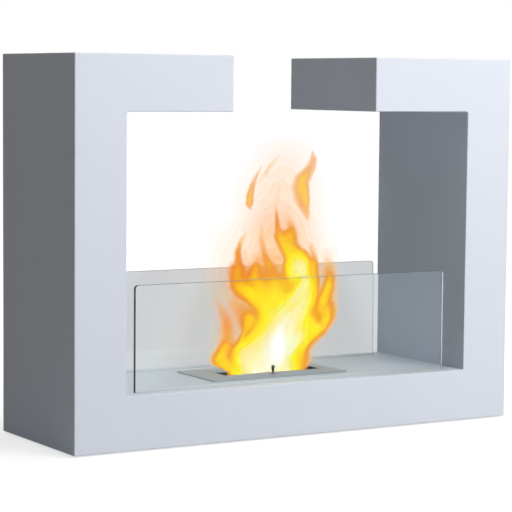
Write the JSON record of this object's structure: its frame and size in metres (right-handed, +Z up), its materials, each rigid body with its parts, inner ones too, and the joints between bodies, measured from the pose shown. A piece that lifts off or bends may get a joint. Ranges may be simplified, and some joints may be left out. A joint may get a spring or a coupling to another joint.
{
  "type": "bioethanol fireplace",
  "caption": "Free-standing bioethanol fireplace: sheet-steel frame open at the top between its arms, lift-out burner with a sliding shutter, clear glass panes in slots front and rear.",
  "frame": {"origin": "middle of the footprint, on the surface that the feet stand on", "axes": "+X along the width to the right as seen from the front, +Y from the front face to the back, +Z up"},
  "size_m": [0.67, 0.214, 0.5],
  "materials": {
    "front_coat": "fine satin powder coat, cool white",
    "side_coat": "fine satin powder coat, light grey",
    "hearth_coat": "fine satin powder coat, cool light grey",
    "stainless": "brushed stainless steel",
    "zinc_steel": "zinc-plated sheet steel",
    "glass": "clear toughened glass with polished edges",
    "rubber": "matt silicone rubber",
    "ceramic_wool": "soft white ceramic fibre"
  },
  "bodies": {
    "frame": {"front_panel": "front_coat", "back_panel": "front_coat", "left_side_panel": "side_coat", "right_side_panel": "side_coat", "left_top_cover": "side_coat", "right_top_cover": "side_coat", "left_end_cap": "side_coat", "right_end_cap": "side_coat", "left_inner_panel": "front_coat", "right_inner_panel": "front_coat", "hearth_plate": "hearth_coat", "burner_well": "zinc_steel", "base_plate": "side_coat", "base_bracket_front_left": "zinc_steel", "base_bracket_front_right": "zinc_steel", "base_bracket_rear_left": "zinc_steel", "base_bracket_rear_right": "zinc_steel", "base_screw_front_left": "zinc_steel", "base_screw_front_right": "zinc_steel", "base_screw_rear_left": "zinc_steel", "base_screw_rear_right": "zinc_steel", "foot_front_left": "rubber", "foot_front_right": "rubber", "foot_rear_left": "rubber", "foot_rear_right": "rubber", "front_glass_channel": "zinc_steel", "rear_glass_channel": "zinc_steel", "front_glass_liner": "rubber", "rear_glass_liner": "rubber"},
    "front_pane": {"front_glass": "glass"},
    "rear_pane": {"rear_glass": "glass"},
    "burner": {"burner_top_plate": "stainless", "burner_reservoir": "stainless", "wool_pad": "ceramic_wool", "wool_screen": "stainless", "left_shutter_rail": "stainless", "right_shutter_rail": "stainless"},
    "shutter": {"shutter_plate": "stainless", "shutter_pin": "stainless"}
  },
  "joints": [
    {"name": "front_pane_lift", "type": "slide", "parent": "frame", "child": "front_pane", "axis": [0, 0, 1], "range_m": [0, 0.15]},
    {"name": "rear_pane_lift", "type": "slide", "parent": "frame", "child": "rear_pane", "axis": [0, 0, 1], "range_m": [0, 0.15]},
    {"name": "burner_lift", "type": "slide", "parent": "frame", "child": "burner", "axis": [0, 0, 1], "range_m": [0, 0.08]},
    {"name": "shutter_slide", "type": "slide", "parent": "burner", "child": "shutter", "axis": [0, 1, 0], "range_m": [0, 0.0274]}
  ]
}
